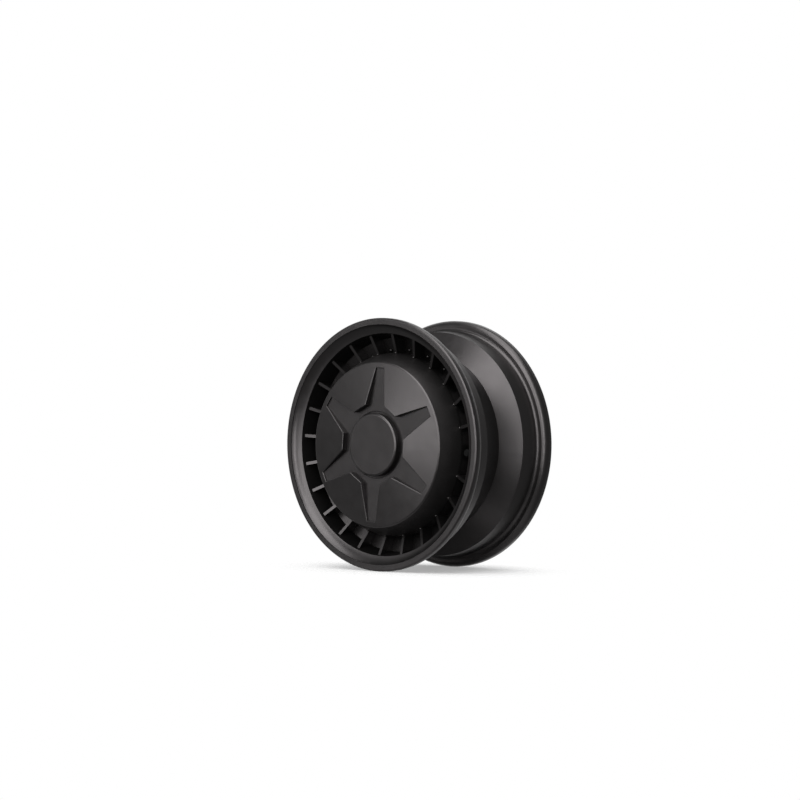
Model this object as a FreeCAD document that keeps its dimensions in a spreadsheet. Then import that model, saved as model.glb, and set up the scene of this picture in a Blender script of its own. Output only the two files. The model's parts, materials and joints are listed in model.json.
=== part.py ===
import FreeCAD, Part
import math
import os
import re

import Sketcher

# Hub motor: a 12 inch rim cast in one piece with the drum of an outer-rotor motor.
# Millimetres. The wheel turns about Y, its star face looks along -Y, Z is up,
# and the origin is the middle of the rim. Places along the axis are given as a
# distance from the middle plane: "front" values lie at -Y, "rear" values at +Y.

# Driving dimensions
DIMENSIONS = {
    # Rest angle of the wheel about its axle
    "rest_roll": 4.4,
    # Rim, tyre side
    "bead_radius": 152.4,
    "bead_taper": 5,
    "bead_seat_width": 27,
    "rim_width": 127,
    "well_width": 42.6,
    "well_wall": 7.2,
    "flange_height": 13.6,
    "flange_thickness": 13,
    "flange_edge_round": 2.5,
    "flange_root_round": 2.6,
    "crown_reach": 9,
    "crown_drop": 6,
    "crown_round": 9.5,
    # Rim, side faces
    "lip_rise": 2,
    "lip_band": 8.4,
    "lip_step": 1.2,
    "dish_depth": 9.3,
    "dish_width": 11.4,
    "dish_round": 20,
    # Cooling pocket and fins between rim and drum
    "rim_wall": 11.3,
    "pocket_width": 19.6,
    "pocket_floor": 41.8,
    "pocket_fall": 6.8,
    "fin_count": 24,
    "fin_thickness": 4,
    "fin_setback": 4.7,
    "fin_fall": 10.4,
    "fin_root": 5,
    # Drum and star face
    "drum_wall": 6.5,
    "drum_draft": 1.2,
    "shoulder_front": 53.6,
    "shoulder_round": 160,
    "face_inset": 14.9,
    "face_front": 83.4,
    "face_slope": 7.5,
    "edge_round": 3,
    "edge_width": 2.27,
    "edge_drop": 1.59,
    "star_floor": 82,
    "arm_count": 6,
    "arm_root_reach": 50.8,
    "arm_root_half": 16.3,
    "arm_tip_reach": 100.5,
    "arm_tip_half": 7.05,
    "arm_edge_round": 0.8,
    "core_margin": 4,
    # Motor chamber inside the drum
    "chamber_front": 54,
    "chamber_step": 3,
    "chamber_crown_inset": 15,
    "end_wall": 10,
    "rear_face": 38,
    # Centre cap
    "cap_radius": 41.3,
    "cap_height": 10,
    "cap_round": 3,
    "cap_wall": 3,
    "cap_recess_radius": 43.5,
    "cap_recess_depth": 1,
    "recess_edge_round": 0.8,
    "cap_socket_radius": 34,
    "cap_socket_depth": 4,
    "cap_spigot_length": 3.5,
    "cap_spigot_wall": 2.5,
    "cap_gap": 0.1,
    # Front bearing, 25 x 52 x 15
    "front_bearing_bore_radius": 12.5,
    "front_bearing_radius": 26,
    "front_bearing_width": 15,
    "front_bearing_front": 74,
    "front_hub_wall": 9,
    "front_hub_draft": 2,
    "front_shoulder": 4,
    # Rear bearing, 35 x 72 x 17
    "rear_bearing_bore_radius": 17.5,
    "rear_bearing_radius": 36,
    "rear_bearing_width": 17,
    "rear_bearing_front": 30,
    # Both bearings
    "race_share": 0.3,
    "shield_thickness": 1,
    "shield_gap": 0.3,
    "press_gap": 0.02,
    # Retaining rings
    "ring_thickness": 1.3,
    "ring_depth": 1.4,
    "ring_width": 3.8,
    "ring_opening": 40,
    # Flux ring and magnets
    "flux_front": 36,
    "flux_length": 60,
    "flux_thickness": 6,
    "magnet_count": 32,
    "magnet_thickness": 3.5,
    "magnet_cover": 0.86,
    "magnet_inset": 2,
    # Rear cover
    "cover_overlap": 18,
    "cover_clearance": 4,
    "cover_thickness": 7.2,
    "cover_edge_break": 1.5,
    "cover_spigot_depth": 5.8,
    "cover_spigot_wall": 8.5,
    "cover_inset": 1.2,
    "cover_hub_wall": 9,
    "cover_hub_draft": 3,
    "cover_hub_lead": 1,
    "gasket_thickness": 0.8,
    "brake_pad_radius": 68,
    "brake_pad_height": 6,
    "brake_pilot_radius": 44,
    "brake_pilot_height": 6,
    "brake_circle_radius": 55,
    "brake_hole_radius": 3.4,
    "brake_hole_depth": 11,
    "brake_hole_count": 5,
    # Rear cover screws, M6
    "screw_edge": 7,
    "screw_count": 12,
    "screw_radius": 3,
    "screw_reach": 10,
    "screw_head_radius": 5,
    "screw_head_height": 6,
    "screw_socket_radius": 2.9,
    "screw_socket_depth": 3,
    "screw_hole_gap": 0.3,
    "screw_thread_gap": 0.05,
    "screw_end_gap": 2,
    # Shaft seal
    "seal_radius": 26,
    "seal_width": 7,
    "seal_stop": 3.5,
    "seal_stop_radius": 23,
    "seal_gap": 0.3,
    # Stator
    "air_gap": 0.8,
    "stack_length": 50,
    "tooth_count": 36,
    "tooth_height": 19.7,
    "tooth_share": 0.538,
    "tooth_root": 2,
    "shoe_share": 0.764,
    "shoe_thickness": 2.5,
    "shoe_slope": 2,
    "yoke_thickness": 9,
    "coil_gap": 0.2,
    "coil_clearance": 0.25,
    "coil_top_gap": 0.7,
    "coil_end_gap": 0.6,
    "coil_end_thickness": 8,
    "coil_corner": 5,
    # Stator carrier, clamp ring and key
    "carrier_rim_wall": 6,
    "carrier_lip": 4,
    "carrier_lip_thickness": 3,
    "carrier_web": 10,
    "carrier_hub_wall": 11,
    "carrier_hub_front": 40,
    "carrier_hole_share": 0.333,
    "carrier_hole_count": 6,
    "clamp_thickness": 3,
    "clamp_screw_radius": 2,
    "clamp_screw_reach": 8,
    "clamp_head_radius": 3,
    "clamp_head_height": 2.4,
    "clamp_screw_count": 6,
    "key_width": 10,
    "key_height": 8,
    "key_depth": 5,
    "key_length": 36,
    # Hall sensors
    "board_thickness": 1.6,
    "board_angle": 70,
    "board_overhang": 4,
    "sensor_width": 3,
    "sensor_height": 2.6,
    "sensor_length": 6,
    "sensor_count": 3,
    "sensor_slots": 3,
    "sensor_inset": 0.4,
    # Axle
    "axle_front": 79,
    "axle_seat_radius": 20,
    "axle_step_inset": 2,
    "axle_collar_radius": 22.5,
    "axle_collar_length": 16,
    "axle_stub_radius": 16,
    "axle_stub_end": 118,
    "axle_land": 2,
    "axle_end": 140,
    "axle_thread_radius": 13.5,
    "axle_chamfer": 1,
    "axle_flat_half": 11,
    "axle_flat_length": 20,
    "lead_bore_radius": 7,
    "lead_window_radius": 5,
    "spacer_flange_radius": 24,
    "spacer_flange_length": 9,
    "spacer_wall": 3.5,
    # Grommet in the lead bore
    "grommet_plug": 15,
    "grommet_flange": 3,
    "grommet_overlap": 3,
    "grommet_bore_radius": 4.5,
    # Tyre valve
    "valve_offset": 1.2,
    "valve_hole_radius": 5.75,
    "valve_pocket_margin": 2.2,
    "valve_seat_radius": 9.2,
    "valve_web_front": 35,
    "valve_web": 4,
    "valve_gap": 0.1,
    "valve_bulb_radius": 8.5,
    "valve_bulb_height": 5,
    "valve_foot": 1.5,
    "valve_collar_radius": 8,
    "valve_collar_height": 4,
    "valve_stem_radius": 6.2,
    "valve_stem_front": 47,
    "valve_tube_radius": 3.9,
    "valve_tube_front": 54.5,
    "valve_tube_bore_radius": 1.8,
    "valve_cap_radius": 5.2,
    "valve_cap_front": 58,
    "valve_cap_gap": 0.15,
}

doc = FreeCAD.newDocument("hub_motor")
sheet = doc.addObject("Spreadsheet::Sheet", "dims")
for row, (alias, number) in enumerate(DIMENSIONS.items(), start=1):
    sheet.set(f"A{row}", alias)
    sheet.set(f"B{row}", str(number))
    sheet.setAlias(f"B{row}", alias)
doc.recompute()

# Sides of a hexagon socket
HEXAGON = 6

# Lengths that several pieces share, written as formulas of the driving dimensions
SHARED = {
    "rim_half": "(rim_width / 2)",
    "flange_radius": "(bead_radius + flange_height)",
    "lip_front": "(rim_half + flange_thickness + lip_rise)",
    "lip_radius": "(flange_radius - lip_band)",
    "opening_radius": "(lip_radius - dish_width)",
    "opening_front": "(lip_front - dish_depth)",
    "hump_place": "(rim_half - bead_seat_width)",
    "hump_radius": "(bead_radius - bead_seat_width * tan(bead_taper))",
    "root_radius": "(bead_radius - flange_root_round * tan(bead_taper))",
    "pocket_radius": "(bead_radius - rim_wall)",
    "drum_radius": "(pocket_radius - pocket_width)",
    "drum_bore_radius": "(drum_radius - drum_wall)",
    "well_radius": "(drum_bore_radius + well_wall)",
    "face_radius": "(drum_radius - face_inset)",
    "chamber_radius": "(drum_bore_radius - chamber_step)",
    "chamber_crown_radius": "(drum_bore_radius - chamber_crown_inset)",
    "wall_front": "(star_floor - end_wall)",
    "cap_base": "(star_floor - cap_recess_depth)",
    "front_bearing_rear": "(front_bearing_front - front_bearing_width)",
    "rear_bearing_rear": "(rear_bearing_front + rear_bearing_width)",
    "cover_radius": "(drum_bore_radius + cover_overlap)",
    "rear_face_radius": "(cover_radius + cover_clearance)",
    "screw_circle_radius": "(cover_radius - screw_edge)",
    "cover_front": "(rear_face + gasket_thickness)",
    "cover_rear": "(cover_front + cover_thickness)",
    "pad_rear": "(cover_rear + brake_pad_height)",
    "pilot_rear": "(pad_rear + brake_pilot_height)",
    "flux_radius": "(drum_bore_radius - flux_thickness)",
    "flux_rear": "(flux_length - flux_front)",
    "magnet_radius": "(flux_radius - magnet_thickness)",
    "core_radius": "(magnet_radius - air_gap)",
    "stack_middle": "(flux_front - flux_length / 2)",
    "stack_front": "(stack_middle + stack_length / 2)",
    "stack_rear": "(stack_length / 2 - stack_middle)",
    "yoke_radius": "(core_radius - tooth_height)",
    "yoke_bore_radius": "(yoke_radius - yoke_thickness)",
    "tooth_width": "(tooth_share * 2 * yoke_radius * tan(180 / tooth_count))",
    "shoe_width": "(shoe_share * 2 * core_radius * tan(180 / tooth_count))",
    "coil_seat": "(yoke_radius + coil_gap)",
    "coil_slot": "(tooth_width / 2 + coil_gap)",
    "coil_side": "(coil_seat * tan(180 / tooth_count) - coil_clearance)",
    "coil_height": "(core_radius - shoe_thickness - shoe_slope - coil_top_gap - coil_seat)",
    "carrier_radius": "(yoke_bore_radius - press_gap)",
    "carrier_rim": "(yoke_bore_radius - carrier_rim_wall)",
    "carrier_hub": "(axle_seat_radius + carrier_hub_wall)",
    "carrier_hole_radius": "((carrier_rim - carrier_hub) * carrier_hole_share)",
    "board_inner_radius": "(carrier_rim - board_overhang)",
    "collar_front": "(rear_bearing_front - axle_collar_length)",
    "seal_front": "(rear_bearing_rear + seal_stop)",
    "valve_radius": "((drum_radius + pocket_radius) / 2 + valve_offset)",
    "valve_pocket_radius": "(pocket_width / 2 + valve_pocket_margin)",
    "valve_web_rear": "(valve_web_front - valve_web)",
}


def formula(text):
    """Spell a formula out in driving dimensions only."""
    return re.sub(r"[a-z_]+", lambda word: formula(SHARED[word[0]]) if word[0] in SHARED else word[0], text)


def value(text):
    """The number that a formula stands for."""
    return float(sheet.evalExpression(formula(text)))


def bind(thing, prop, text):
    """Tie a property to a formula of the sheet's dimensions."""
    spelled = formula(text)
    tied = re.sub(r"[a-z_]+", lambda word: f"dims.{word[0]}" if word[0] in DIMENSIONS else word[0], spelled)
    thing.setExpression(prop, tied)


subparts = []


def new_body(label, turns=False):
    """An empty body; one that turns with the wheel stands at the wheel's rest angle."""
    body = doc.addObject("PartDesign::Body", label)
    body.Label = label
    if turns:
        body.Placement = FreeCAD.Placement(FreeCAD.Vector(), FreeCAD.Rotation(FreeCAD.Vector(0, 1, 0), 1))
        bind(body, "Placement.Rotation.Angle", "rest_roll")
    subparts.append(body)
    return body


def origin_feature(body, role):
    return next(feature for feature in body.Origin.OriginFeatures if feature.Role == role)


def new_sketch(body, plane, offset=None, turn=None):
    """A sketch on an origin plane of the body, moved along its normal or turned about its own y."""
    sketch = body.newObject("Sketcher::SketchObject", body.Label + "_sketch")
    sketch.AttachmentSupport = [(origin_feature(body, plane), "")]
    sketch.MapMode = "FlatFace"
    if offset:
        bind(sketch, "AttachmentOffset.Base.z", offset)
    if turn:
        sketch.AttachmentOffset = FreeCAD.Placement(
            FreeCAD.Vector(), FreeCAD.Rotation(FreeCAD.Vector(0, 1, 0), value(turn))
        )
        bind(sketch, "AttachmentOffset.Rotation.Angle", turn)
    return sketch


def pin_point(sketch, geometry, position, across, up):
    """Fix a point's two coordinates to formulas."""
    for axis, kind, text in ((-2, "DistanceX", across), (-1, "DistanceY", up)):
        if text == "0":
            sketch.addConstraint(Sketcher.Constraint("PointOnObject", geometry, position, axis))
        else:
            index = sketch.addConstraint(Sketcher.Constraint(kind, geometry, position, value(text)))
            bind(sketch, f"Constraints[{index}]", text)


def arc_middle(start, end, radius, turn):
    """The middle point of the shorter arc from start to end that turns left or right."""
    chord = end - start
    half = chord.Length / 2
    sagitta = radius - math.sqrt(radius * radius - half * half)
    side = FreeCAD.Vector(chord.y, -chord.x, 0).normalize()
    return (start + end) * 0.5 + side * (sagitta if turn == "left" else -sagitta)


def outline(sketch, corners):
    """A closed outline through corners (x, y); (x, y, radius, turn) is reached by an arc."""
    places = [FreeCAD.Vector(value(across), value(up), 0) for across, up, *arc in corners]
    ends = []
    for index, (across, up, *arc) in enumerate(corners):
        start = places[index - 1]
        end = places[index]
        if not arc:
            geometry = sketch.addGeometry(Part.LineSegment(start, end))
            ends.append((geometry, 1, 2))
            continue
        radius, turn = arc
        middle = arc_middle(start, end, value(radius), turn)
        if turn == "left":
            geometry = sketch.addGeometry(Part.Arc(start, middle, end))
            ends.append((geometry, 1, 2))
        else:
            geometry = sketch.addGeometry(Part.Arc(end, middle, start))
            ends.append((geometry, 2, 1))
    for index, (across, up, *arc) in enumerate(corners):
        geometry, first, last = ends[index]
        following, next_first, next_last = ends[(index + 1) % len(ends)]
        sketch.addConstraint(Sketcher.Constraint("Coincident", geometry, last, following, next_first))
        pin_point(sketch, geometry, last, across, up)
        if arc:
            radius, turn = arc
            size = sketch.addConstraint(Sketcher.Constraint("Radius", geometry, value(radius)))
            bind(sketch, f"Constraints[{size}]", radius)


def circle(sketch, across, up, radius):
    """A circle whose centre and radius are formulas."""
    centre = FreeCAD.Vector(value(across), value(up), 0)
    geometry = sketch.addGeometry(Part.Circle(centre, FreeCAD.Vector(0, 0, 1), value(radius)))
    pin_point(sketch, geometry, 3, across, up)
    size = sketch.addConstraint(Sketcher.Constraint("Radius", geometry, value(radius)))
    bind(sketch, f"Constraints[{size}]", radius)


def revolve(body, corners, sweep="360"):
    """Turn an outline of (radius, place along the axis) about the wheel's axis."""
    sketch = new_sketch(body, "XY_Plane")
    outline(sketch, corners)
    feature = body.newObject("PartDesign::Revolution", body.Label + "_turned")
    feature.Profile = sketch
    feature.ReferenceAxis = (sketch, ["V_Axis"])
    bind(feature, "Angle", sweep)
    doc.recompute()
    return feature


def extrude(body, sketch, length, kind="PartDesign::Pad", back=False, both=False):
    """Pad or pocket a sketch along its normal, backwards or to both sides."""
    feature = body.newObject(kind, body.Label + "_" + kind.split("::")[1].lower())
    feature.Profile = sketch
    feature.Reversed = back
    if both:
        feature.SideType = "Symmetric"
    bind(feature, "Length", length)
    doc.recompute()
    return feature


def cut(body, sketch, length, back=False, both=False):
    """A pocket that is checked to take material away."""
    before = body.Shape.Volume
    feature = extrude(body, sketch, length, "PartDesign::Pocket", back, both)
    if body.Shape.Volume >= before:
        raise RuntimeError(f"{body.Label}: the pocket cuts nothing")
    return feature


def soften(body, base, radius, floor):
    """Round the edges where a pocket's upright walls meet the cone that stands in front of its floor."""
    names = []
    for index, edge in enumerate(base.Shape.Edges, start=1):
        kinds = {face.Surface.TypeId for face in base.Shape.ancestorsOfType(edge, Part.Face)}
        if kinds == {"Part::GeomPlane", "Part::GeomCone"} and edge.BoundBox.YMax < -value(floor):
            names.append(f"Edge{index}")
    feature = body.newObject("PartDesign::Fillet", body.Label + "_fillet")
    feature.Base = (base, names)
    bind(feature, "Radius", radius)
    doc.recompute()
    return feature


def ring_of(body, features, count, pitch=None):
    """Repeat features about the wheel's axis, one pitch apart."""
    pattern = body.newObject("PartDesign::PolarPattern", body.Label + "_ring")
    pattern.Originals = features
    pattern.Axis = (origin_feature(body, "Y_Axis"), [""])
    pattern.Mode = "Spacing"
    bind(pattern, "Offset", pitch or f"360 / ({count})")
    bind(pattern, "Occurrences", count)
    body.Tip = pattern
    doc.recompute()
    return pattern


def wheel_casting():
    """Rim, drum, fins and star face in one casting."""
    body = new_body("wheel_casting", turns=True)
    star_core = "(arm_root_reach - core_margin)"
    lip = [
        ("lip_radius", "-lip_front"),
        ("flange_radius - flange_edge_round", "-lip_front"),
        ("flange_radius", "flange_edge_round - lip_front", "flange_edge_round", "left"),
        ("flange_radius", "-rim_half - crown_reach"),
        ("flange_radius - crown_drop", "-rim_half", "crown_round", "left"),
        ("bead_radius + flange_root_round", "-rim_half"),
        ("root_radius", "flange_root_round - rim_half", "flange_root_round", "right"),
    ]
    well = [
        ("hump_radius", "-hump_place"),
        ("well_radius", "-well_width / 2"),
        ("well_radius", "well_width / 2"),
        ("hump_radius", "hump_place"),
    ]
    rear_lip = [
        ("root_radius", "rim_half - flange_root_round"),
        ("bead_radius + flange_root_round", "rim_half", "flange_root_round", "right"),
        ("flange_radius - crown_drop", "rim_half"),
        ("flange_radius", "rim_half + crown_reach", "crown_round", "left"),
        ("flange_radius", "lip_front - flange_edge_round"),
        ("flange_radius - flange_edge_round", "lip_front", "flange_edge_round", "left"),
        ("lip_radius", "lip_front"),
        ("lip_radius", "lip_front - lip_step"),
        ("opening_radius", "opening_front", "dish_round", "right"),
    ]
    rear_bowl = [
        ("pocket_radius", "rear_face + pocket_radius - rear_face_radius"),
        ("rear_face_radius", "rear_face"),
        ("drum_bore_radius", "rear_face"),
    ]
    chamber = [
        ("drum_bore_radius", "-flux_front"),
        ("chamber_radius", "-flux_front"),
        ("chamber_radius", "-chamber_front"),
        ("chamber_crown_radius", "-wall_front"),
        ("front_bearing_radius + front_hub_wall", "-wall_front"),
        ("front_bearing_radius + front_hub_wall - front_hub_draft", "front_shoulder - front_bearing_rear"),
        ("front_bearing_radius - front_shoulder", "front_shoulder - front_bearing_rear"),
        ("front_bearing_radius - front_shoulder", "-front_bearing_rear"),
    ]
    bearing_seat = [
        ("front_bearing_radius", "-front_bearing_rear"),
        ("front_bearing_radius", "-front_bearing_front"),
        ("front_bearing_radius + ring_depth", "-front_bearing_front"),
        ("front_bearing_radius + ring_depth", "-front_bearing_front - ring_thickness"),
        ("front_bearing_radius", "-front_bearing_front - ring_thickness"),
        ("front_bearing_radius", "cap_socket_depth - cap_base"),
        ("cap_socket_radius", "cap_socket_depth - cap_base"),
        ("cap_socket_radius", "-cap_base"),
        ("cap_recess_radius", "-cap_base"),
        ("cap_recess_radius", "recess_edge_round - star_floor"),
        ("cap_recess_radius + recess_edge_round", "-star_floor", "recess_edge_round", "right"),
    ]
    face = [
        (star_core, "-star_floor"),
        (star_core, f"-face_front - (face_radius - {star_core}) * tan(face_slope)"),
        ("face_radius", "-face_front"),
        ("face_radius + edge_width", "edge_drop - face_front", "edge_round", "left"),
        ("drum_radius - drum_draft", "-shoulder_front", "shoulder_round", "left"),
        ("drum_radius", "pocket_fall - pocket_floor"),
        ("pocket_radius", "-pocket_floor"),
        ("opening_radius", "-opening_front"),
        ("lip_radius", "lip_step - lip_front", "dish_round", "right"),
    ]
    revolve(body, lip + well + rear_lip + rear_bowl + chamber + bearing_seat + face)

    fin_front = "(opening_front - fin_setback)"
    fin_slope = "(fin_fall / (opening_radius - drum_radius))"
    fin_sketch = new_sketch(body, "XY_Plane", turn="360 / fin_count")
    fin_corners = [
        ("drum_radius - fin_root", "fin_root + pocket_fall - pocket_floor"),
        ("pocket_radius + fin_root", "fin_root - pocket_floor"),
        ("opening_radius + fin_root", f"-{fin_front} - fin_root * {fin_slope}"),
        ("drum_radius - fin_root", f"fin_fall - {fin_front} + fin_root * {fin_slope}"),
    ]
    outline(fin_sketch, fin_corners)
    fin = extrude(body, fin_sketch, "fin_thickness", both=True)
    ring_of(body, [fin], "fin_count - 1", "360 / fin_count")

    star = new_sketch(body, "XZ_Plane", "star_floor")
    arm = (
        ("arm_root_reach", "-arm_root_half"),
        ("arm_tip_reach", "-arm_tip_half"),
        ("arm_tip_reach", "arm_tip_half"),
        ("arm_root_reach", "arm_root_half"),
    )
    star_corners = []
    for place in range(round(value("arm_count"))):
        angle = f"((2 * {place} + 1) * 180 / arm_count)"
        for reach, half in arm:
            across = f"{reach} * cos({angle}) - {half} * sin({angle})"
            star_corners.append((across, f"{reach} * sin({angle}) + {half} * cos({angle})"))
    outline(star, star_corners)
    soften(body, cut(body, star, "cap_height + face_front", back=True), "arm_edge_round", "star_floor")

    screw_hole = new_sketch(body, "XZ_Plane", "-rear_face")
    circle(screw_hole, "screw_circle_radius", "0", "screw_radius + screw_thread_gap")
    ring_of(body, [cut(body, screw_hole, "screw_reach + screw_end_gap", back=True)], "screw_count")

    front_spot = new_sketch(body, "XZ_Plane", "valve_web_front")
    circle(front_spot, "valve_radius", "0", "valve_pocket_radius")
    cut(body, front_spot, "opening_front - valve_web_front", back=True)
    rear_spot = new_sketch(body, "XZ_Plane", "valve_web_rear")
    circle(rear_spot, "valve_radius", "0", "valve_seat_radius")
    cut(body, rear_spot, "valve_web_rear")
    valve_hole = new_sketch(body, "XZ_Plane", "valve_web_front")
    circle(valve_hole, "valve_radius", "0", "valve_hole_radius")
    cut(body, valve_hole, "valve_web")


def centre_cap():
    """Hollow cap that plugs the front bearing's opening."""
    body = new_body("centre_cap", turns=True)
    front = "(cap_base + cap_height)"
    spigot = "(cap_socket_radius - cap_gap)"
    hollow = f"({spigot} - cap_spigot_wall)"
    revolve(body, [
        (hollow, "cap_spigot_length - cap_base"),
        (spigot, "cap_spigot_length - cap_base"),
        (spigot, "-cap_base"),
        ("cap_radius", "-cap_base"),
        ("cap_radius", f"cap_round - {front}"),
        ("cap_radius - cap_round", f"-{front}", "cap_round", "right"),
        ("0", f"-{front}"),
        ("0", f"cap_wall - {front}"),
        (hollow, f"cap_wall - {front}"),
    ])


def bearing(name, bore, radius, front, rear):
    """A shielded ball bearing: the outer race turns, the inner race stays with the axle."""
    share = f"(({radius} - {bore}) * race_share)"
    outer = new_body(name + "_outer_race", turns=True)
    land = f"({bore} + {share} + shield_gap)"
    track = f"({radius} - {share})"
    revolve(outer, [
        (land, front),
        (f"{radius} - press_gap", front),
        (f"{radius} - press_gap", rear),
        (land, rear),
        (land, f"{rear} - shield_thickness"),
        (track, f"{rear} - shield_thickness"),
        (track, f"{front} + shield_thickness"),
        (land, f"{front} + shield_thickness"),
    ])
    inner = new_body(name + "_inner_race")
    revolve(inner, [
        (f"{bore} + press_gap", front),
        (f"{bore} + {share}", front),
        (f"{bore} + {share}", rear),
        (f"{bore} + press_gap", rear),
    ])


def retaining_ring(label, inner, outer, front, turns=False):
    """An open spring ring."""
    body = new_body(label, turns)
    revolve(body, [
        (inner, front),
        (outer, front),
        (outer, f"{front} + ring_thickness"),
        (inner, f"{front} + ring_thickness"),
    ], "360 - ring_opening")


def flux_ring():
    """Steel ring pressed into the drum behind the magnets."""
    body = new_body("flux_ring", turns=True)
    revolve(body, [
        ("flux_radius", "-flux_front"),
        ("drum_bore_radius - press_gap", "-flux_front"),
        ("drum_bore_radius - press_gap", "flux_rear"),
        ("flux_radius", "flux_rear"),
    ])


def magnets():
    """One curved tile for each pole."""
    body = new_body("magnets", turns=True)
    sketch = new_sketch(body, "XZ_Plane", "flux_front - magnet_inset")
    half = "(magnet_cover * 180 / magnet_count)"
    back = "(flux_radius - press_gap)"
    outline(sketch, [
        (f"{back} * cos({half})", f"-{back} * sin({half})"),
        (f"{back} * cos({half})", f"{back} * sin({half})", back, "left"),
        (f"magnet_radius * cos({half})", f"magnet_radius * sin({half})"),
        (f"magnet_radius * cos({half})", f"-magnet_radius * sin({half})", "magnet_radius", "right"),
    ])
    tile = extrude(body, sketch, "flux_length - 2 * magnet_inset", back=True)
    ring_of(body, [tile], "magnet_count")


def rear_cover():
    """End plate with the rear bearing seat, the seal seat and the brake disc seat."""
    body = new_body("rear_cover", turns=True)
    spigot = "(drum_bore_radius - press_gap)"
    plate = "(cover_front + cover_inset)"
    hub_front = "(rear_bearing_front - cover_hub_lead)"
    revolve(body, [
        ("rear_bearing_radius", hub_front),
        ("rear_bearing_radius + cover_hub_wall", hub_front),
        ("rear_bearing_radius + cover_hub_wall + cover_hub_draft", plate),
        (f"{spigot} - cover_spigot_wall", plate),
        (f"{spigot} - cover_spigot_wall", "cover_front - cover_spigot_depth"),
        (spigot, "cover_front - cover_spigot_depth"),
        (spigot, "cover_front"),
        ("cover_radius", "cover_front"),
        ("cover_radius", "cover_rear - cover_edge_break"),
        ("cover_radius - cover_edge_break", "cover_rear"),
        ("brake_pad_radius + brake_pad_height / 2", "cover_rear"),
        ("brake_pad_radius", "pad_rear"),
        ("brake_pilot_radius", "pad_rear"),
        ("brake_pilot_radius", "pilot_rear - cover_edge_break"),
        ("brake_pilot_radius - cover_edge_break", "pilot_rear"),
        ("seal_radius", "pilot_rear"),
        ("seal_radius", "seal_front"),
        ("seal_stop_radius", "seal_front"),
        ("seal_stop_radius", "rear_bearing_rear"),
        ("rear_bearing_radius", "rear_bearing_rear"),
    ])
    screw_hole = new_sketch(body, "XZ_Plane", "-cover_rear")
    circle(screw_hole, "screw_circle_radius", "0", "screw_radius + screw_hole_gap")
    ring_of(body, [cut(body, screw_hole, "cover_thickness", back=True)], "screw_count")
    brake_hole = new_sketch(body, "XZ_Plane", "-pad_rear")
    circle(brake_hole, "brake_circle_radius", "0", "brake_hole_radius")
    ring_of(body, [cut(body, brake_hole, "brake_hole_depth", back=True)], "brake_hole_count")


def cover_gasket():
    """Flat gasket between the casting and the rear cover."""
    body = new_body("cover_gasket", turns=True)
    revolve(body, [
        ("drum_bore_radius", "rear_face"),
        ("cover_radius", "rear_face"),
        ("cover_radius", "cover_front"),
        ("drum_bore_radius", "cover_front"),
    ])
    hole = new_sketch(body, "XZ_Plane", "-cover_front")
    circle(hole, "screw_circle_radius", "0", "screw_radius + screw_hole_gap")
    ring_of(body, [cut(body, hole, "gasket_thickness", back=True)], "screw_count")


def rear_cover_screws():
    """Socket head screws through cover and gasket into the casting."""
    body = new_body("rear_cover_screws", turns=True)
    shank_sketch = new_sketch(body, "XZ_Plane", "-cover_rear")
    circle(shank_sketch, "screw_circle_radius", "0", "screw_radius")
    shank = extrude(body, shank_sketch, "cover_thickness + gasket_thickness + screw_reach")
    head_sketch = new_sketch(body, "XZ_Plane", "-cover_rear")
    circle(head_sketch, "screw_circle_radius", "0", "screw_head_radius")
    head = extrude(body, head_sketch, "screw_head_height", back=True)
    socket_sketch = new_sketch(body, "XZ_Plane", "-cover_rear - screw_head_height")
    corners = []
    for side in range(HEXAGON):
        across = f"screw_circle_radius + screw_socket_radius * cos({side} * 360 / {HEXAGON})"
        on_axis = 2 * side % HEXAGON == 0
        corners.append((across, "0" if on_axis else f"screw_socket_radius * sin({side} * 360 / {HEXAGON})"))
    outline(socket_sketch, corners)
    socket = cut(body, socket_sketch, "screw_socket_depth", back=True)
    ring_of(body, [shank, head, socket], "screw_count")


def shaft_seal():
    """Lip seal in the rear cover round the axle."""
    body = new_body("shaft_seal", turns=True)
    lip = "(rear_bearing_bore_radius + seal_gap)"
    revolve(body, [
        (lip, "seal_front + seal_width / 4"),
        ("seal_stop_radius", "seal_front"),
        ("seal_radius - press_gap", "seal_front"),
        ("seal_radius - press_gap", "seal_front + seal_width"),
        (lip, "seal_front + seal_width"),
    ])


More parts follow.
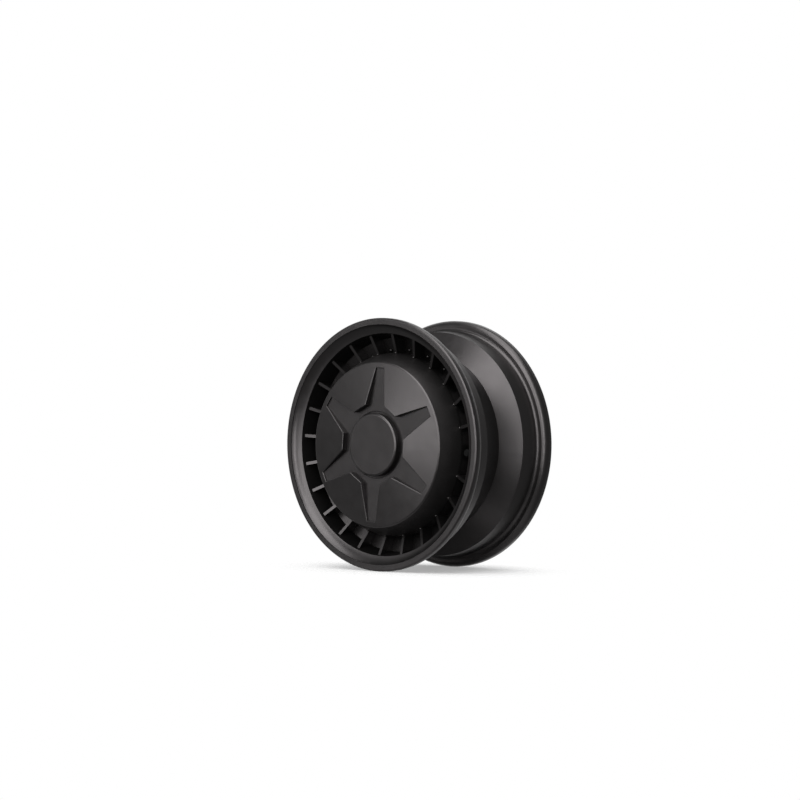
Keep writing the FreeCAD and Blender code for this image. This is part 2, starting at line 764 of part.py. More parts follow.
def axle():
    """Stepped stub axle, hollow from the rear for the leads."""
    body = new_body("axle")
    ring_front = "(front_bearing_front + ring_thickness)"
    groove = "(front_bearing_bore_radius - ring_depth)"
    rear_groove = "(rear_bearing_bore_radius - ring_depth)"
    revolve(body, [
        ("0", "-axle_front"),
        ("front_bearing_bore_radius - axle_chamfer", "-axle_front"),
        ("front_bearing_bore_radius", "axle_chamfer - axle_front"),
        ("front_bearing_bore_radius", f"-{ring_front}"),
        (groove, f"-{ring_front}"),
        (groove, "-front_bearing_front"),
        ("front_bearing_bore_radius", "-front_bearing_front"),
        ("front_bearing_bore_radius", "axle_step_inset - carrier_hub_front"),
        ("axle_seat_radius", "axle_step_inset - carrier_hub_front"),
        ("axle_seat_radius", "collar_front"),
        ("axle_collar_radius", "collar_front"),
        ("axle_collar_radius", "rear_bearing_front"),
        ("rear_bearing_bore_radius", "rear_bearing_front"),
        ("rear_bearing_bore_radius", "rear_bearing_rear"),
        (rear_groove, "rear_bearing_rear"),
        (rear_groove, "rear_bearing_rear + ring_thickness"),
        ("rear_bearing_bore_radius", "rear_bearing_rear + ring_thickness"),
        ("rear_bearing_bore_radius", "pilot_rear + axle_land"),
        ("axle_stub_radius", "pilot_rear + axle_land"),
        ("axle_stub_radius", "axle_stub_end - axle_chamfer"),
        ("axle_stub_radius - axle_chamfer", "axle_stub_end"),
        ("axle_thread_radius", "axle_stub_end"),
        ("axle_thread_radius", "axle_end - axle_chamfer"),
        ("axle_thread_radius - axle_chamfer", "axle_end"),
        ("lead_bore_radius", "axle_end"),
        ("lead_bore_radius", "collar_front"),
        ("0", "collar_front"),
    ])
    window = new_sketch(body, "XY_Plane")
    circle(window, "0", "rear_bearing_front - axle_collar_length / 2", "lead_window_radius")
    cut(body, window, "2 * axle_collar_radius", both=True)
    flats = new_sketch(body, "XZ_Plane", "-axle_end")
    for side in ("1", "-1"):
        outline(flats, [
            ("-axle_stub_radius", f"{side} * axle_flat_half"),
            ("axle_stub_radius", f"{side} * axle_flat_half"),
            ("axle_stub_radius", f"{side} * axle_stub_radius"),
            ("-axle_stub_radius", f"{side} * axle_stub_radius"),
        ])
    cut(body, flats, "axle_flat_length", back=True)
    keyway = new_sketch(body, "XZ_Plane", "-collar_front")
    outline(keyway, [
        ("-key_width / 2", "axle_seat_radius - key_depth"),
        ("key_width / 2", "axle_seat_radius - key_depth"),
        ("key_width / 2", "axle_seat_radius + key_height"),
        ("-key_width / 2", "axle_seat_radius + key_height"),
    ])
    cut(body, keyway, "key_length", back=True)


def stator_core():
    """Laminated core: a yoke ring with a shoed tooth for each coil."""
    body = new_body("stator_core")
    revolve(body, [
        ("yoke_bore_radius", "-stack_front"),
        ("yoke_radius", "-stack_front"),
        ("yoke_radius", "stack_rear"),
        ("yoke_bore_radius", "stack_rear"),
    ])
    tip = "sqrt(core_radius ^ 2 - (shoe_width / 2) ^ 2)"
    tooth = new_sketch(body, "XZ_Plane", "stack_front")
    outline(tooth, [
        ("yoke_radius - tooth_root", "-tooth_width / 2"),
        (f"{tip} - shoe_thickness - shoe_slope", "-tooth_width / 2"),
        (f"{tip} - shoe_thickness", "-shoe_width / 2"),
        (tip, "-shoe_width / 2"),
        (tip, "shoe_width / 2", "core_radius", "left"),
        (f"{tip} - shoe_thickness", "shoe_width / 2"),
        (f"{tip} - shoe_thickness - shoe_slope", "tooth_width / 2"),
        ("yoke_radius - tooth_root", "tooth_width / 2"),
    ])
    ring_of(body, [extrude(body, tooth, "stack_length", back=True)], "tooth_count")


def stator_coils():
    """A wound coil round each tooth."""
    body = new_body("stator_coils")
    sketch = new_sketch(body, "YZ_Plane", "coil_seat")
    window = "(stack_length / 2 + coil_end_gap)"
    reach = f"({window} + coil_end_thickness)"
    outline(sketch, [
        (f"coil_corner - {reach} - stack_middle", "-coil_side"),
        (f"{reach} - coil_corner - stack_middle", "-coil_side"),
        (f"{reach} - stack_middle", "coil_corner - coil_side"),
        (f"{reach} - stack_middle", "coil_side - coil_corner"),
        (f"{reach} - coil_corner - stack_middle", "coil_side"),
        (f"coil_corner - {reach} - stack_middle", "coil_side"),
        (f"-{reach} - stack_middle", "coil_side - coil_corner"),
        (f"-{reach} - stack_middle", "coil_corner - coil_side"),
    ])
    outline(sketch, [
        (f"-{window} - stack_middle", "-coil_slot"),
        (f"{window} - stack_middle", "-coil_slot"),
        (f"{window} - stack_middle", "coil_slot"),
        (f"-{window} - stack_middle", "coil_slot"),
    ])
    ring_of(body, [extrude(body, sketch, "coil_height")], "tooth_count")


def stator_carrier():
    """Spoked aluminium carrier between the axle and the core."""
    body = new_body("stator_carrier")
    bore = "(axle_seat_radius + press_gap)"
    lip_rear = "(stack_rear + carrier_lip_thickness)"
    web_front = "(stack_middle + carrier_web / 2)"
    web_rear = "(carrier_web / 2 - stack_middle)"
    revolve(body, [
        (bore, "-carrier_hub_front"),
        ("carrier_hub", "-carrier_hub_front"),
        ("carrier_hub", f"-{web_front}"),
        ("carrier_rim", f"-{web_front}"),
        ("carrier_rim", "-stack_front"),
        ("carrier_radius", "-stack_front"),
        ("carrier_radius", "stack_rear"),
        ("yoke_bore_radius + carrier_lip", "stack_rear"),
        ("yoke_bore_radius + carrier_lip", lip_rear),
        ("carrier_rim", lip_rear),
        ("carrier_rim", web_rear),
        ("carrier_hub", web_rear),
        ("carrier_hub", "collar_front"),
        (bore, "collar_front"),
    ])
    hole = new_sketch(body, "XZ_Plane", web_front)
    circle(hole, "(carrier_hub + carrier_rim) / 2", "0", "carrier_hole_radius")
    ring_of(body, [cut(body, hole, "carrier_web")], "carrier_hole_count")
    screw_hole = new_sketch(body, "XZ_Plane", "stack_front")
    circle(screw_hole, "carrier_rim + carrier_rim_wall / 2", "0", "clamp_screw_radius + screw_thread_gap")
    ring_of(body, [cut(body, screw_hole, "clamp_screw_reach + screw_end_gap")], "clamp_screw_count")
    keyway = new_sketch(body, "XZ_Plane", "-collar_front")
    key_top = "(axle_seat_radius - key_depth + key_height + press_gap)"
    outline(keyway, [
        ("-key_width / 2", "axle_seat_radius - key_depth"),
        ("key_width / 2", "axle_seat_radius - key_depth"),
        ("key_width / 2", key_top),
        ("-key_width / 2", key_top),
    ])
    cut(body, keyway, "collar_front + carrier_hub_front", back=True)


def carrier_key():
    """Parallel key that stops the carrier turning on the axle."""
    body = new_body("carrier_key")
    sketch = new_sketch(body, "XZ_Plane", "-collar_front")
    outline(sketch, [
        ("-key_width / 2", "axle_seat_radius - key_depth"),
        ("key_width / 2", "axle_seat_radius - key_depth"),
        ("key_width / 2", "axle_seat_radius - key_depth + key_height"),
        ("-key_width / 2", "axle_seat_radius - key_depth + key_height"),
    ])
    extrude(body, sketch, "key_length")


def clamp_ring():
    """Ring that holds the core against the carrier's lip."""
    body = new_body("clamp_ring")
    revolve(body, [
        ("carrier_rim", "-stack_front - clamp_thickness"),
        ("yoke_bore_radius + carrier_lip", "-stack_front - clamp_thickness"),
        ("yoke_bore_radius + carrier_lip", "-stack_front"),
        ("carrier_rim", "-stack_front"),
    ])
    hole = new_sketch(body, "XZ_Plane", "stack_front + clamp_thickness")
    circle(hole, "carrier_rim + carrier_rim_wall / 2", "0", "clamp_screw_radius + screw_thread_gap")
    ring_of(body, [cut(body, hole, "clamp_thickness")], "clamp_screw_count")


def clamp_screws():
    """Screws of the clamp ring."""
    body = new_body("clamp_screws")
    circle_radius = "carrier_rim + carrier_rim_wall / 2"
    shank_sketch = new_sketch(body, "XZ_Plane", "stack_front + clamp_thickness")
    circle(shank_sketch, circle_radius, "0", "clamp_screw_radius")
    shank = extrude(body, shank_sketch, "clamp_thickness + clamp_screw_reach", back=True)
    head_sketch = new_sketch(body, "XZ_Plane", "stack_front + clamp_thickness")
    circle(head_sketch, circle_radius, "0", "clamp_head_radius")
    head = extrude(body, head_sketch, "clamp_head_height")
    ring_of(body, [shank, head], "clamp_screw_count")


def hall_sensor_board():
    """Curved circuit board on the carrier's lip."""
    body = new_body("hall_sensor_board")
    front = "(stack_rear + carrier_lip_thickness)"
    revolve(body, [
        ("board_inner_radius", front),
        ("yoke_bore_radius + carrier_lip", front),
        ("yoke_bore_radius + carrier_lip", f"{front} + board_thickness"),
        ("board_inner_radius", f"{front} + board_thickness"),
    ], "board_angle")


def hall_sensors():
    """Sensors in the slot openings at the rear end of the core."""
    body = new_body("hall_sensors")
    sketch = new_sketch(body, "XZ_Plane", "-stack_rear")
    outer = "(core_radius - sensor_inset)"
    inner = "(core_radius - sensor_inset - sensor_height)"
    angle = "(180 / tooth_count)"
    corners = []
    for reach, half in ((inner, "-1"), (outer, "-1"), (outer, "1"), (inner, "1")):
        across = f"{reach} * cos({angle}) - {half} * sensor_width / 2 * sin({angle})"
        corners.append((across, f"{reach} * sin({angle}) + {half} * sensor_width / 2 * cos({angle})"))
    outline(sketch, corners)
    sensor = extrude(body, sketch, "sensor_length")
    ring_of(body, [sensor], "sensor_count", "sensor_slots * 360 / tooth_count")


def spacer_sleeve():
    """Sleeve that holds the carrier against the axle's collar."""
    body = new_body("spacer_sleeve")
    bore = "front_bearing_bore_radius + press_gap"
    flange_front = "-carrier_hub_front - spacer_flange_length"
    revolve(body, [
        (bore, "-front_bearing_rear"),
        ("front_bearing_bore_radius + spacer_wall", "-front_bearing_rear"),
        ("front_bearing_bore_radius + spacer_wall", flange_front),
        ("spacer_flange_radius", flange_front),
        ("spacer_flange_radius", "-carrier_hub_front"),
        (bore, "-carrier_hub_front"),
    ])


def cable_grommet():
    """Rubber sleeve in the mouth of the lead bore."""
    body = new_body("cable_grommet")
    plug = "lead_bore_radius - press_gap"
    flange = "lead_bore_radius + grommet_overlap"
    revolve(body, [
        ("grommet_bore_radius", "axle_end - grommet_plug"),
        (plug, "axle_end - grommet_plug"),
        (plug, "axle_end"),
        (flange, "axle_end"),
        (flange, "axle_end + grommet_flange"),
        ("grommet_bore_radius", "axle_end + grommet_flange"),
    ])


def valve_body(label):
    """A body on the valve's own axis, which lies beside the wheel's."""
    body = new_body(label, turns=True)
    bind(body, "Placement.Base.x", "valve_radius * cos(rest_roll)")
    bind(body, "Placement.Base.z", "-valve_radius * sin(rest_roll)")
    return body


def tyre_valve():
    """Snap-in rubber stem moulded over a brass tube, with a screw cap, in the place of one fin."""
    bulb_rear = "(valve_bulb_height - valve_web_rear)"
    tube_rear = f"({bulb_rear} - valve_foot)"
    tube = "(valve_tube_radius + press_gap)"
    neck = "(valve_hole_radius - valve_gap)"
    revolve(valve_body("valve_stem"), [
        ("valve_tube_bore_radius", bulb_rear),
        ("valve_bulb_radius - valve_bulb_height / 3", bulb_rear),
        ("valve_bulb_radius", "-valve_web_rear"),
        (neck, "-valve_web_rear"),
        (neck, "-valve_web_front"),
        ("valve_collar_radius", "-valve_web_front"),
        ("valve_stem_radius", "-valve_web_front - valve_collar_height"),
        ("valve_cap_radius", "-valve_stem_front"),
        (tube, "-valve_stem_front"),
        (tube, tube_rear),
        ("valve_tube_bore_radius", tube_rear),
    ])
    revolve(valve_body("valve_tube"), [
        ("valve_tube_bore_radius", tube_rear),
        ("valve_tube_radius", tube_rear),
        ("valve_tube_radius", "-valve_tube_front"),
        ("valve_tube_bore_radius", "-valve_tube_front"),
    ])
    hollow = "(valve_tube_radius + valve_cap_gap)"
    top = "valve_cap_front - valve_tube_front - valve_cap_gap"
    revolve(valve_body("valve_cap"), [
        (hollow, "-valve_stem_front"),
        ("valve_cap_radius", "-valve_stem_front"),
        ("valve_cap_radius", f"({top}) / 2 - valve_cap_front"),
        (f"valve_cap_radius - ({top}) / 2", "-valve_cap_front"),
        ("0", "-valve_cap_front"),
        ("0", f"{top} - valve_cap_front"),
        (hollow, f"{top} - valve_cap_front"),
    ])


wheel_casting()
centre_cap()
bearing(
    "front_bearing",
    "front_bearing_bore_radius",
    "front_bearing_radius",
    "-front_bearing_front",
    "-front_bearing_rear",
)
bearing(
    "rear_bearing",
    "rear_bearing_bore_radius",
    "rear_bearing_radius",
    "rear_bearing_front",
    "rear_bearing_rear",
)
retaining_ring(
    "front_bore_circlip",
    "front_bearing_radius + ring_depth - ring_width",
    "front_bearing_radius + ring_depth - press_gap",
    "-front_bearing_front - ring_thickness",
    turns=True,
)
retaining_ring(
    "front_axle_circlip",
    "front_bearing_bore_radius - ring_depth + press_gap",
    "front_bearing_bore_radius - ring_depth + ring_width",
    "-front_bearing_front - ring_thickness",
)
retaining_ring(
    "rear_axle_circlip",
    "rear_bearing_bore_radius - ring_depth + press_gap",
    "rear_bearing_bore_radius - ring_depth + ring_width",
    "rear_bearing_rear",
)
flux_ring()
magnets()
rear_cover()
cover_gasket()
rear_cover_screws()
shaft_seal()
axle()
stator_carrier()
carrier_key()
stator_core()
stator_coils()
clamp_ring()
clamp_screws()
hall_sensor_board()
hall_sensors()
spacer_sleeve()
cable_grommet()
tyre_valve()
doc.recompute()

failed = [thing.Name for thing in doc.Objects if {"Invalid", "Error"} & set(thing.State)]
broken = [body.Label for body in subparts if body.Shape.isNull() or not body.Shape.isValid()]
if failed or broken:
    raise RuntimeError(f"failed features: {failed}; broken shapes: {broken}")

os.makedirs("parts", exist_ok=True)
for body in subparts:
    body.Shape.exportStep(os.path.join("parts", body.Label + ".step"))
    print(body.Label, len(body.Shape.Solids), round(body.Shape.Volume / 1000, 2), "cm3")
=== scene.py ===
import json
import math

import bpy
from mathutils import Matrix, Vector


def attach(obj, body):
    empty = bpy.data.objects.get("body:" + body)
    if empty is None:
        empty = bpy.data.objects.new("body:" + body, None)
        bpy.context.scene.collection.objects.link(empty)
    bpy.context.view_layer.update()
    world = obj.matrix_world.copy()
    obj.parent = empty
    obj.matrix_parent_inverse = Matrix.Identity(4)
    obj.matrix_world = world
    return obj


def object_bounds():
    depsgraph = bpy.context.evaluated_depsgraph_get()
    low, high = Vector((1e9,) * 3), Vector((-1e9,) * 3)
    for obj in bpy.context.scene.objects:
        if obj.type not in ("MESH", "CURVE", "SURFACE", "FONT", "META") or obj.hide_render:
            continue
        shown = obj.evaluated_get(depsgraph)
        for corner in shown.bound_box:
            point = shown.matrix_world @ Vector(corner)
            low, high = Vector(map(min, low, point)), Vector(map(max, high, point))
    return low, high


# Metres, in the part's frame: the wheel turns about Y, its star face looks along -Y and Z is up.
QUARTER_TURN = math.pi / 2

# Camera, found from the ellipses of the two flanges
CAMERA_PLACE = (2.2153, -2.5730, 0.0375)
CAMERA_YAW = math.radians(41.12)
CAMERA_PITCH = math.radians(0.36)
CAMERA_LENS = 114.75
SENSOR_WIDTH = 36.0
VIEW_LIMIT = 100.0

# Studio: a white table top that fades into a dim room with one white wall
WHITE = (1.0, 1.0, 1.0, 1.0)
TABLE_HALF = 0.5
TABLE_COLOUR = (0.9, 0.9, 0.9, 1.0)
TABLE_CLEAR = 0.35
TABLE_FADE = (0.09, 0.25)
TABLE_STRETCH = (1.0, 1.6, 0.0)
ROOM_COLOUR = (0.14, 0.14, 0.14, 1.0)
WALL_AZIMUTH = 221.0
WALL_EDGE = (0.45, 0.8)

# Softboxes: azimuth from the star face towards the right, elevation, width, height, power
LAMP_DISTANCE = 8.0
LAMPS = {
    "front": (-9.0, 11.0, 6.99, 4.59, 272.1),
    "side": (44.0, 9.0, 2.0, 6.14, 190.0),
    "edge": (19.0, 9.0, 2.2, 6.14, 52.0),
    "high": (16.5, 47.0, 6.69, 5.20, 370.0),
    "fill": (-48.0, 24.0, 3.64, 4.59, 15.8),
    "top": (10.0, 85.0, 6.0, 6.0, 270.0),
}

# Thread on the flattened end of the axle
THREAD_RADIUS = 0.0135
THREAD_HEIGHT = 0.0006
THREAD_PITCH = 0.002
THREAD_START = 0.1206
THREAD_TURNS = 9
THREAD_HALF_ANGLE = math.radians(53)
THREAD_STEPS = 24

# Sizes of the casting, from its axis and from the middle of the rim
RIM_HALF = 0.0635
BEAD_RADIUS = 0.1524
BEAD_TAPER = math.radians(5)
FLANGE_RADIUS = 0.166
LIP_FRONT = 0.0785
FLANGE_EDGE_ROUND = 0.0025
FACE_RADIUS = 0.1066
FACE_FRONT = 0.0834
FACE_EDGE_ROUND = 0.003
FACE_EDGE_WIDTH = 0.00227
FACE_EDGE_DROP = 0.00159

# Coats over the casting's rounds, finely divided so that their highlights run smoothly
FRONT = -1
REAR = 1
ROOT_ROUND = 0.0045
ROOT_LIFT = 0.00004
EDGE_LIFT = 0.00002
EDGE_START = math.radians(14)
COAT_STEPS = 12
COAT_SEGMENTS = 360

# Small domes on the casting, as radius, place along the axis, angle after a fin, and size.
# The valve stands where one of the evenly spaced fins would be.
FIN_COUNT = 24
FIN_PITCH = math.tau / FIN_COUNT
REST_ROLL = math.radians(4.4)
DOMES = {
    "fin_toes": (0.1207, -0.0544, 0.0, 0.0016),
    "floor_pips": (0.1255, -0.0366, math.radians(11), 0.0028),
}
DOME_RINGS = 6
DOME_SEGMENTS = 12

# Mottling and grain of every finish, and painted shade in crevices, where ambient occlusion scales the shine
# down
CLOUD_SCALE = 22.0
CLOUD_DETAIL = 4.0
GLOSS_SCALE = 70.0
GLOSS_DETAIL = 3.0
NOISE_RANGE = (0.3, 0.7)
GRAIN_SCALE = 1200.0
GRAIN_DETAIL = 2.0
GRAIN_STRENGTH = 0.08
GRAIN_DEPTH = 0.00006
TURNED_SCALE = 900.0
# Painted shade: how far and how strongly ambient occlusion darkens the shine in crevices and pockets
CREVICE_REACH = 0.04
CREVICE_SAMPLES = 8
CREVICE_RANGE = (0.2, 0.6)
CREVICE_SHADE_SHINE = 0.4

# The drum between star face and fins has a coarser coat
ACROSS = (1.0, 0.0, 1.0)
DRUM_RADII = (0.1092, 0.1206)
DRUM_REAR = -0.05
DRUM_BLUR = 0.0004
DRUM_ROUGHER = 0.15
DRUM_SHINE = 0.62


def grey(level, warmth=0.0):
    return (level * (1 + warmth), level, level * (1 - warmth), 1.0)


PAINT = dict(
    dark=grey(0.003, 0.03),
    light=grey(0.0045, 0.03),
    roughness=(0.3, 0.36),
    specular=1.0,
    tint=(1.0, 0.94, 0.95, 1.0),
    drum=True,
)
FINISHES = {
    "cast_black": PAINT,
    "cap_black": PAINT,
    "bearing_steel": dict(dark=grey(0.5), light=grey(0.56), roughness=(0.2, 0.3), metallic=1.0, turned=True),
    "spring_steel": dict(dark=grey(0.2), light=grey(0.25), roughness=(0.3, 0.4), metallic=1.0),
    "axle_steel": dict(dark=grey(0.42), light=grey(0.5), roughness=(0.28, 0.38), metallic=1.0, turned=True),
    "plated_steel": dict(dark=grey(0.5, 0.02), light=grey(0.58, 0.02), roughness=(0.3, 0.4), metallic=1.0),
    "magnet": dict(dark=grey(0.4), light=grey(0.46), roughness=(0.35, 0.45), metallic=1.0),
    "black_screws": dict(dark=grey(0.02), light=grey(0.03), roughness=(0.35, 0.5)),
    "gasket": dict(dark=grey(0.05, 0.1), light=grey(0.08, 0.1), roughness=(0.7, 0.85)),
    "rubber": dict(dark=grey(0.006), light=grey(0.01), roughness=(0.6, 0.75), specular=0.25),
    "brass": dict(
        dark=(0.6, 0.42, 0.16, 1.0), light=(0.7, 0.5, 0.22, 1.0), roughness=(0.25, 0.38), metallic=1.0
    ),
    "black_plastic": dict(dark=grey(0.004), light=grey(0.007), roughness=(0.55, 0.65), specular=0.08),
    "aluminium": dict(dark=grey(0.55), light=grey(0.65), roughness=(0.4, 0.55), metallic=1.0),
    "lamination": dict(dark=grey(0.2), light=grey(0.3), roughness=(0.4, 0.55), metallic=1.0),
    "copper": dict(
        dark=(0.55, 0.22, 0.09, 1.0), light=(0.7, 0.3, 0.13, 1.0), roughness=(0.25, 0.4), metallic=1.0
    ),
    "board": dict(dark=(0.008, 0.06, 0.025, 1.0), light=(0.012, 0.08, 0.035, 1.0), roughness=(0.3, 0.4)),
}


def new_material(name):
    material = bpy.data.materials.new(name)
    material.use_nodes = True
    material.node_tree.nodes.clear()
    return material, material.node_tree


def node(tree, kind, inputs=None, **settings):
    """Add a node; its inputs are numbers, colours or sockets to link from."""
    made = tree.nodes.new(kind)
    for key, value in settings.items():
        setattr(made, key, value)
    for key, value in (inputs or {}).items():
        if isinstance(value, bpy.types.NodeSocket):
            tree.links.new(value, made.inputs[key])
        else:
            made.inputs[key].default_value = value
    return made


def noise(tree, place, scale, detail):
    made = node(tree, "ShaderNodeTexNoise", {"Vector": place, "Scale": scale, "Detail": detail})
    return made.outputs["Fac"]


def spread(tree, source, limits, low, high, shape="LINEAR"):
    """Map a value from its limits to a range."""
    inputs = {"Value": source, "From Min": limits[0], "From Max": limits[1], "To Min": low, "To Max": high}
    return node(tree, "ShaderNodeMapRange", inputs, interpolation_type=shape).outputs["Result"]


def blend(tree, factor, first, second):
    made = node(tree, "ShaderNodeMixRGB", {"Fac": factor, "Color1": first, "Color2": second})
    return made.outputs["Color"]


def drum_zone(tree, place):
    """One on the drum's outside behind the star face, nought elsewhere."""
    along = node(tree, "ShaderNodeSeparateXYZ", {"Vector": place}).outputs["Y"]
    spoke = node(tree, "ShaderNodeVectorMath", {0: place, 1: ACROSS}, operation="MULTIPLY")
    length = node(tree, "ShaderNodeVectorMath", {0: spoke.outputs["Vector"]}, operation="LENGTH")
    radius = length.outputs["Value"]
    inner, outer = DRUM_RADII
    rise = spread(tree, radius, (inner - DRUM_BLUR, inner), 0.0, 1.0)
    fall = spread(tree, radius, (outer, outer + DRUM_BLUR), 1.0, 0.0)
    front = spread(tree, along, (DRUM_REAR, DRUM_REAR + DRUM_BLUR), 1.0, 0.0)
    ring = node(tree, "ShaderNodeMath", {0: rise, 1: fall}, operation="MULTIPLY").outputs["Value"]
    return node(tree, "ShaderNodeMath", {0: ring, 1: front}, operation="MULTIPLY").outputs["Value"]


def surface(
    name, dark, light, roughness, metallic=0.0, specular=0.5, tint=WHITE, turned=False, drum=False,
):
    """A finish with cloudy colour, uneven gloss, a fine grain and painted shade in its crevices."""
    material, tree = new_material(name)
    place = node(tree, "ShaderNodeTexCoord").outputs["Object"]
    colour = blend(tree, noise(tree, place, CLOUD_SCALE, CLOUD_DETAIL), dark, light)
    gloss = spread(tree, noise(tree, place, GLOSS_SCALE, GLOSS_DETAIL), NOISE_RANGE, *roughness)
    if turned:
        rings = node(
            tree, "ShaderNodeTexWave", {"Vector": place, "Scale": TURNED_SCALE}, bands_direction="Y"
        )
        relief = rings.outputs["Fac"]
    else:
        relief = noise(tree, place, GRAIN_SCALE, GRAIN_DETAIL)
    bump = node(
        tree, "ShaderNodeBump", {"Height": relief, "Strength": GRAIN_STRENGTH, "Distance": GRAIN_DEPTH}
    )
    # Painted shade: ambient occlusion lowers the specular level in crevices and deep pockets, so they render
    # darker
    crevice_shade = node(
        tree, "ShaderNodeAmbientOcclusion", {"Distance": CREVICE_REACH}, samples=CREVICE_SAMPLES
    )
    shine = spread(tree, crevice_shade.outputs["AO"], CREVICE_RANGE, CREVICE_SHADE_SHINE * specular, specular)
    if drum:
        zone = drum_zone(tree, place)
        coarser = spread(tree, zone, (0.0, 1.0), 0.0, DRUM_ROUGHER)
        duller = spread(tree, zone, (0.0, 1.0), 1.0, DRUM_SHINE)
        gloss = node(tree, "ShaderNodeMath", {0: gloss, 1: coarser}, operation="ADD").outputs["Value"]
        shine = node(tree, "ShaderNodeMath", {0: shine, 1: duller}, operation="MULTIPLY").outputs["Value"]
    shader = node(tree, "ShaderNodeBsdfPrincipled", {
        "Base Color": colour,
        "Roughness": gloss,
        "Metallic": metallic,
        "Specular IOR Level": shine,
        "Specular Tint": tint,
        "Normal": bump.outputs["Normal"],
    })
    node(tree, "ShaderNodeOutputMaterial", {"Surface": shader.outputs["BSDF"]})
    return material


def dress(frame, materials):
    """Give every solid the finish of its slot in the record."""
    for part in frame["record"]["subparts"]:
        for slot in frame["nodes"][part["node"]].material_slots:
            slot.material = materials[part["material_slot"]]


def new_object(name, points, faces, material):
    mesh = bpy.data.meshes.new(name)
    mesh.from_pydata(points, [], faces)
    mesh.materials.append(material)
    made = bpy.data.objects.new(name, mesh)
    bpy.context.collection.objects.link(made)
    return made


def axle_thread(material):
    """The ridges of the axle's thread on the two round sides between its flats."""
    points = []
    faces = []
    half = THREAD_PITCH / 2
    ridge = ((-half, 0.0), (0.0, THREAD_HEIGHT), (half, 0.0))
    for turn in range(THREAD_TURNS):
        for side in (0.0, math.pi):
            for step in range(THREAD_STEPS + 1):
                angle = side + THREAD_HALF_ANGLE * (2 * step / THREAD_STEPS - 1)
                advance = THREAD_START + THREAD_PITCH * (turn + 0.5 + angle / math.tau)
                for along, rise in ridge:
                    reach = THREAD_RADIUS + rise
                    points.append((reach * math.cos(angle), advance + along, reach * math.sin(angle)))
                if step:
                    last = len(points) - len(ridge)
                    for corner in range(last, last + len(ridge) - 1):
                        before = corner - len(ridge)
                        faces.append((before, before + 1, corner + 1, corner))
    thread = new_object("axle_thread", points, faces, material)
    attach(thread, "axle_assembly")


def coat(name, side, centre, reach, start, end, material):
    """A smooth ring with an arc for its section; angles are from straight out towards that side."""
    profile = []
    for step in range(COAT_STEPS + 1):
        angle = start + (end - start) * step / COAT_STEPS
        profile.append((centre[0] + reach * math.cos(angle), centre[1] + reach * math.sin(angle)))
    points = []
    faces = []
    for turn in range(COAT_SEGMENTS):
        angle = math.tau * turn / COAT_SEGMENTS
        following = (turn + 1) % COAT_SEGMENTS
        for index, (radius, along) in enumerate(profile):
            points.append((radius * math.cos(angle), side * along, radius * math.sin(angle)))
            if index:
                near = turn * len(profile) + index
                far = following * len(profile) + index
                quad = (near - 1, near, far, far - 1)
                faces.append(quad if side > 0 else quad[::-1])
    made = new_object(name, points, faces, material)
    made.data.shade_smooth()
    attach(made, "wheel")


def flange_root(name, side, material):
    """The round that runs from the tapered bead seat into the flange."""
    over_seat = ROOT_ROUND / math.cos(BEAD_TAPER) - ROOT_ROUND * math.tan(BEAD_TAPER)
    centre = (BEAD_RADIUS + over_seat, RIM_HALF - ROOT_ROUND)
    coat(name, side, centre, ROOT_ROUND - ROOT_LIFT, math.pi - BEAD_TAPER, QUARTER_TURN, material)


def flange_edge(name, side, material):
    """The round between the flange's rim and its outer face."""
    centre = (FLANGE_RADIUS - FLANGE_EDGE_ROUND, LIP_FRONT - FLANGE_EDGE_ROUND)
    coat(name, side, centre, FLANGE_EDGE_ROUND + EDGE_LIFT, EDGE_START, QUARTER_TURN, material)


def face_edge(material):
    """The round at the star face's rim, which falls from the face by its drop over its width."""
    middle = math.atan2(FACE_EDGE_WIDTH, FACE_EDGE_DROP)
    half = math.asin(math.hypot(FACE_EDGE_WIDTH, FACE_EDGE_DROP) / 2 / FACE_EDGE_ROUND)
    end = middle + half
    centre = (
        FACE_RADIUS - FACE_EDGE_ROUND * math.cos(end),
        FACE_FRONT - FACE_EDGE_ROUND * math.sin(end),
    )
    coat("face_edge", FRONT, centre, FACE_EDGE_ROUND + EDGE_LIFT, middle - half, end, material)


def domes(name, radius, place, after, size, material):
    """A small ball at every fin or beside it."""
    points = []
    faces = []
    for fin in range(1, FIN_COUNT):
        angle = FIN_PITCH * fin + after - REST_ROLL
        centre = Vector((radius * math.cos(angle), place, radius * math.sin(angle)))
        first = len(points)
        for ring in range(DOME_RINGS + 1):
            tilt = math.pi * ring / DOME_RINGS
            for segment in range(DOME_SEGMENTS):
                turn = math.tau * segment / DOME_SEGMENTS
                spoke = Vector((math.cos(turn), 0.0, math.sin(turn))) * math.sin(tilt)
                points.append(centre + size * (spoke - Vector((0.0, math.cos(tilt), 0.0))))
                if ring:
                    here = first + ring * DOME_SEGMENTS
                    following = (segment + 1) % DOME_SEGMENTS
                    above = here - DOME_SEGMENTS
                    faces.append((above + segment, above + following, here + following, here + segment))
    made = new_object(name, points, faces, material)
    made.data.shade_smooth()
    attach(made, "wheel")


def table(height):
    """The table top under the wheel; it fades away with distance and keeps the shadow."""
    material, tree = new_material("table_white")
    place = node(tree, "ShaderNodeTexCoord").outputs["Object"]
    flat = node(tree, "ShaderNodeVectorMath", {0: place, 1: TABLE_STRETCH}, operation="MULTIPLY")
    reach = node(tree, "ShaderNodeVectorMath", {0: flat.outputs["Vector"]}, operation="LENGTH")
    thin = spread(tree, reach.outputs["Value"], TABLE_FADE, TABLE_CLEAR, 1.0, "SMOOTHSTEP")
    matt = node(tree, "ShaderNodeBsdfDiffuse", {"Color": TABLE_COLOUR}).outputs["BSDF"]
    clear = node(tree, "ShaderNodeBsdfTransparent").outputs["BSDF"]
    faded = node(tree, "ShaderNodeMixShader", {"Fac": thin, 1: matt, 2: clear}).outputs["Shader"]
    node(tree, "ShaderNodeOutputMaterial", {"Surface": faded})
    corners = [(x * TABLE_HALF, y * TABLE_HALF, height) for x, y in ((-1, -1), (1, -1), (1, 1), (-1, 1))]
    new_object("table", corners, [(0, 1, 2, 3)], material)


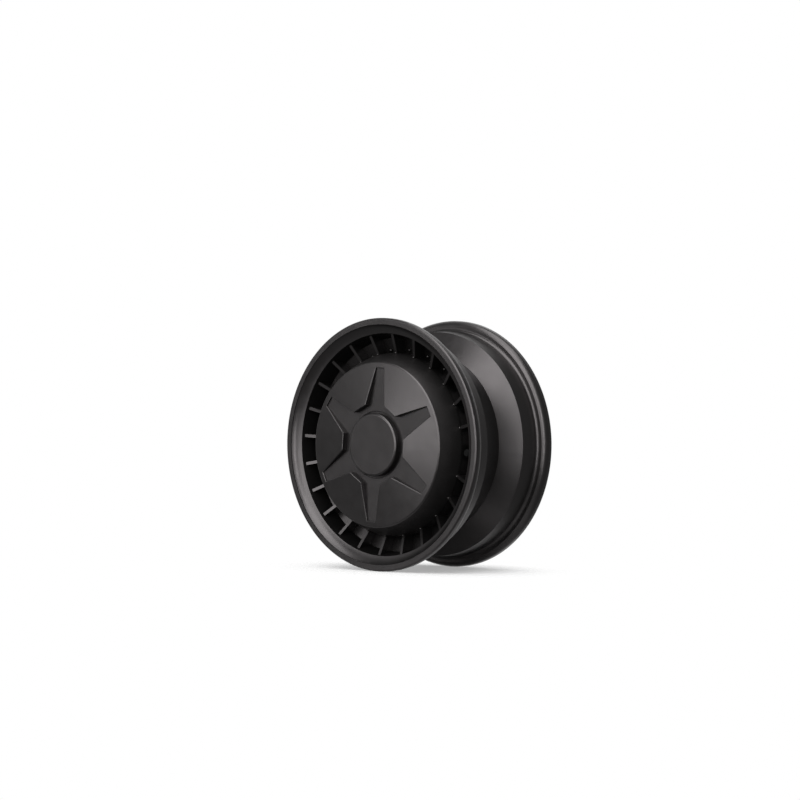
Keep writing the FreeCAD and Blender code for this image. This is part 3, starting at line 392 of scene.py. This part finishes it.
def towards(azimuth, elevation):
    """The unit vector of a direction; azimuth 0 is the star face's side, 90 the right."""
    turn = math.radians(azimuth)
    rise = math.radians(elevation)
    return Vector((math.sin(turn) * math.cos(rise), -math.cos(turn) * math.cos(rise), math.sin(rise)))


def room():
    """A dim room with a white wall on one side."""
    world = bpy.data.worlds.new("room")
    bpy.context.scene.world = world
    world.use_nodes = True
    tree = world.node_tree
    tree.nodes.clear()
    direction = node(tree, "ShaderNodeTexCoord").outputs["Generated"]
    wall = towards(WALL_AZIMUTH, 0.0)
    facing = node(tree, "ShaderNodeVectorMath", {0: direction, 1: wall}, operation="DOT_PRODUCT")
    share = spread(tree, facing.outputs["Value"], WALL_EDGE, 0.0, 1.0)
    colour = blend(tree, share, ROOM_COLOUR, WHITE)
    light = node(tree, "ShaderNodeBackground", {"Color": colour, "Strength": 1.0})
    node(tree, "ShaderNodeOutputWorld", {"Surface": light.outputs["Background"]})


def softbox(name, azimuth, elevation, width, height, power):
    light = bpy.data.lights.new(name, "AREA")
    light.shape = "RECTANGLE"
    light.size = width
    light.size_y = height
    light.energy = power
    made = bpy.data.objects.new(name, light)
    away = towards(azimuth, elevation)
    made.location = away * LAMP_DISTANCE
    made.rotation_euler = away.to_track_quat("Z", "Y").to_euler()
    bpy.context.collection.objects.link(made)


def camera():
    data = bpy.data.cameras.new("camera")
    data.sensor_width = SENSOR_WIDTH
    data.lens = CAMERA_LENS
    data.clip_end = VIEW_LIMIT
    made = bpy.data.objects.new("camera", data)
    made.location = CAMERA_PLACE
    made.rotation_euler = (QUARTER_TURN + CAMERA_PITCH, 0.0, CAMERA_YAW)
    bpy.context.collection.objects.link(made)
    bpy.context.scene.camera = made


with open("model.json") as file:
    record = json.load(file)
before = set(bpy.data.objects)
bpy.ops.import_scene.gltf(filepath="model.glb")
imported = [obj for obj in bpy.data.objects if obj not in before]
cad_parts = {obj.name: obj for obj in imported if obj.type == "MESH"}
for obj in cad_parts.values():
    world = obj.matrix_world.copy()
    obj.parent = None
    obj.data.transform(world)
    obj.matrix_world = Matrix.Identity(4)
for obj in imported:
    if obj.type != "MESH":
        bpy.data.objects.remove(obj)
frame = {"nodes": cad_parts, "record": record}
cad_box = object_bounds()
materials = {slot: surface(slot, **finish) for slot, finish in FINISHES.items()}
dress(frame, materials)
axle_thread(materials["axle_steel"])
for name, setting in DOMES.items():
    domes(name, *setting, materials["cast_black"])
flange_root("flange_root_front", FRONT, materials["cast_black"])
flange_root("flange_root_rear", REAR, materials["cast_black"])
flange_edge("flange_edge_front", FRONT, materials["cast_black"])
flange_edge("flange_edge_rear", REAR, materials["cast_black"])
face_edge(materials["cast_black"])
table(cad_box[0].z)
room()
for name, setting in LAMPS.items():
    softbox(name, *setting)
camera()
bpy.context.scene.view_settings.view_transform = "Standard"
